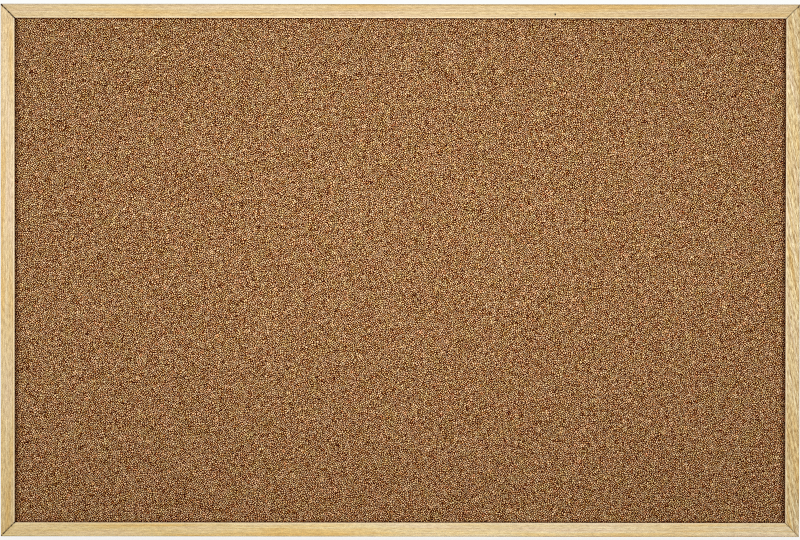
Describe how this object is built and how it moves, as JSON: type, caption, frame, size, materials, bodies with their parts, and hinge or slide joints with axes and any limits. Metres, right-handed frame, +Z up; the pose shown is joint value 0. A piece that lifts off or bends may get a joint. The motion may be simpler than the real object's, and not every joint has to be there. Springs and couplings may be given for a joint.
{
  "type": "pin badge board",
  "caption": "Framed cork board for pinning badges: a cork, softboard and hardboard panel held in a mitred pine frame, with hinged D-ring hangers on the back.",
  "frame": {"origin": "centre of the board's outline on the back plane of the frame, which is the plane that goes against the wall", "axes": "+X to the right of a person who faces the cork, +Y into the wall, so that the cork faces -Y, +Z up"},
  "size_m": [0.9, 0.0228, 0.6],
  "materials": {
    "pine": "bare sanded pine",
    "cork": "granulated cork, matt",
    "softboard": "porous fibreboard, matt",
    "hardboard": "pressed fibreboard, mesh side out",
    "steel": "plain spring steel",
    "zinc": "bright zinc plate"
  },
  "bodies": {
    "board": {"top_rail": "pine", "bottom_rail": "pine", "left_stile": "pine", "right_stile": "pine", "cork_sheet": "cork", "softboard_core": "softboard", "hardboard_back": "hardboard", "top_left_v_nail": "steel", "top_right_v_nail": "steel", "bottom_left_v_nail": "steel", "bottom_right_v_nail": "steel", "top_rail_framers_point_1": "steel", "top_rail_framers_point_2": "steel", "top_rail_framers_point_3": "steel", "top_rail_framers_point_4": "steel", "bottom_rail_framers_point_1": "steel", "bottom_rail_framers_point_2": "steel", "bottom_rail_framers_point_3": "steel", "bottom_rail_framers_point_4": "steel", "left_stile_framers_point_1": "steel", "left_stile_framers_point_2": "steel", "left_stile_framers_point_3": "steel", "right_stile_framers_point_1": "steel", "right_stile_framers_point_2": "steel", "right_stile_framers_point_3": "steel", "left_hanger_strap": "zinc", "right_hanger_strap": "zinc", "left_hanger_screw_1": "zinc", "left_hanger_screw_2": "zinc", "right_hanger_screw_1": "zinc", "right_hanger_screw_2": "zinc"},
    "left_ring": {"left_hanger_ring": "zinc"},
    "right_ring": {"right_hanger_ring": "zinc"}
  },
  "joints": [
    {"name": "left_ring_swing", "type": "hinge", "parent": "board", "child": "left_ring", "pos_m": [-0.443, 0.0025, 0.15], "axis": [-1, 0, 0], "range_deg": [0, 186]},
    {"name": "right_ring_swing", "type": "hinge", "parent": "board", "child": "right_ring", "pos_m": [0.443, 0.0025, 0.15], "axis": [-1, 0, 0], "range_deg": [0, 186]}
  ]
}
